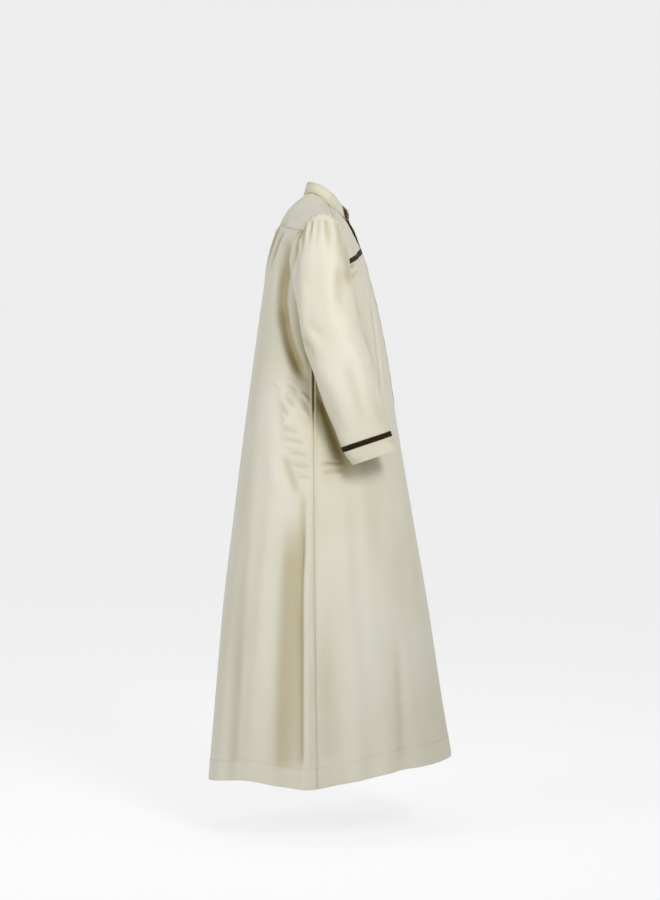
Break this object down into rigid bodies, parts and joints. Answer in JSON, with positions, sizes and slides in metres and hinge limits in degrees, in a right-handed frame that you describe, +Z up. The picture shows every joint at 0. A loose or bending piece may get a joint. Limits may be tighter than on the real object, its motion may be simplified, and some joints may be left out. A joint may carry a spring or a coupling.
{
  "type": "thobe robe",
  "caption": "Ankle-length satin thobe with stand collar, half placket, set-in sleeves, dark ribbon trim and side-seam pockets, hollow as worn.",
  "frame": {"origin": "middle of the neck base, where the wearer's neck and shoulders carry the garment", "axes": "+Z up, -Y towards the garment's front, +X towards the wearer's left"},
  "size_m": [0.6606, 0.6255, 1.5361],
  "materials": {
    "ivory_satin": "ivory satin with a soft sheen",
    "brown_satin": "brown satin facing",
    "dark_ribbon": "dark brown woven ribbon"
  },
  "bodies": {
    "root": {"front": "ivory_satin", "back": "ivory_satin", "yoke": "ivory_satin", "sleeve_right": "ivory_satin", "sleeve_left": "ivory_satin", "collar": "ivory_satin", "collar_facing": "brown_satin", "placket_over": "ivory_satin", "placket_facing": "brown_satin", "placket_under": "ivory_satin", "chest_ribbon_right": "dark_ribbon", "chest_ribbon_left": "dark_ribbon", "cuff_ribbon_right": "dark_ribbon", "cuff_ribbon_left": "dark_ribbon", "pocket_bag_right": "ivory_satin", "pocket_bag_left": "ivory_satin"}
  },
  "joints": []
}
